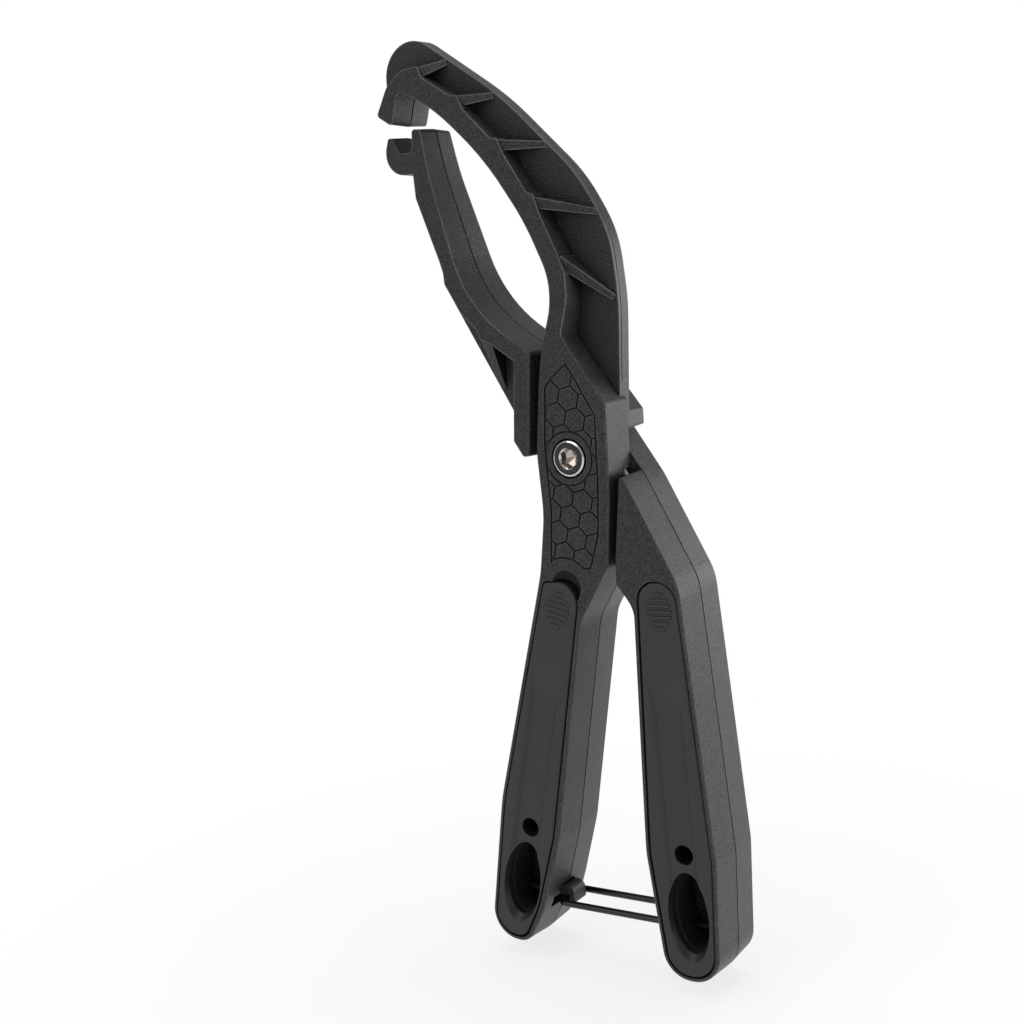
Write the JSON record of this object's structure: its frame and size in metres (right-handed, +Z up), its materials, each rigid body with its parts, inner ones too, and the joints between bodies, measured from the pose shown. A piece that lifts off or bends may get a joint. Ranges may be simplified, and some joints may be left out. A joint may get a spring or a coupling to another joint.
{
  "type": "bicycle tyre bead pliers",
  "caption": "Crossing long-jaw pliers that squeeze a bicycle tyre's bead over its rim, with a tyre lever clipped into each handle and a wire bail that latches them shut.",
  "frame": {"origin": "on the pivot screw's axis, in the plane of the back faces", "axes": "+Z up the tool towards the jaws, +X to the right seen from the front, +Y from the front faces to the back faces"},
  "size_m": [0.0984, 0.0224, 0.267],
  "materials": {
    "arm_plastic": "fine spark-eroded grain on the front faces, smoother on the side walls",
    "lever_plastic": "satin, smoother than the arms",
    "screw_steel": "bright turned steel",
    "spring_steel": "bright drawn wire",
    "bail_wire": "black coated wire"
  },
  "bodies": {
    "hook_side": {"hook_arm": "arm_plastic", "return_spring": "spring_steel"},
    "lower_side": {"lower_arm": "arm_plastic", "pivot_nut": "screw_steel", "pivot_screw": "screw_steel", "pivot_sleeve": "screw_steel", "pivot_washer": "screw_steel"},
    "bail": {"wire_bail": "bail_wire"},
    "left_lever": {"tyre_lever_left": "lever_plastic"},
    "right_lever": {"tyre_lever_right": "lever_plastic"}
  },
  "joints": [
    {"name": "jaw_pivot", "type": "hinge", "parent": "hook_side", "child": "lower_side", "pos_m": [0, 0, 0], "axis": [0, -1, 0], "range_deg": [-1.5, 24], "deforming": ["return_spring"]},
    {"name": "bail_swing", "type": "hinge", "parent": "lower_side", "child": "bail", "pos_m": [0.0197, -0.011, -0.1339], "axis": [0, 1, 0], "range_deg": [-45, 0]},
    {"name": "left_lever_slide", "type": "slide", "parent": "hook_side", "child": "left_lever", "axis": [0, -1, 0], "range_m": [0, 0.03]},
    {"name": "right_lever_slide", "type": "slide", "parent": "lower_side", "child": "right_lever", "axis": [0, -1, 0], "range_m": [0, 0.03]}
  ]
}
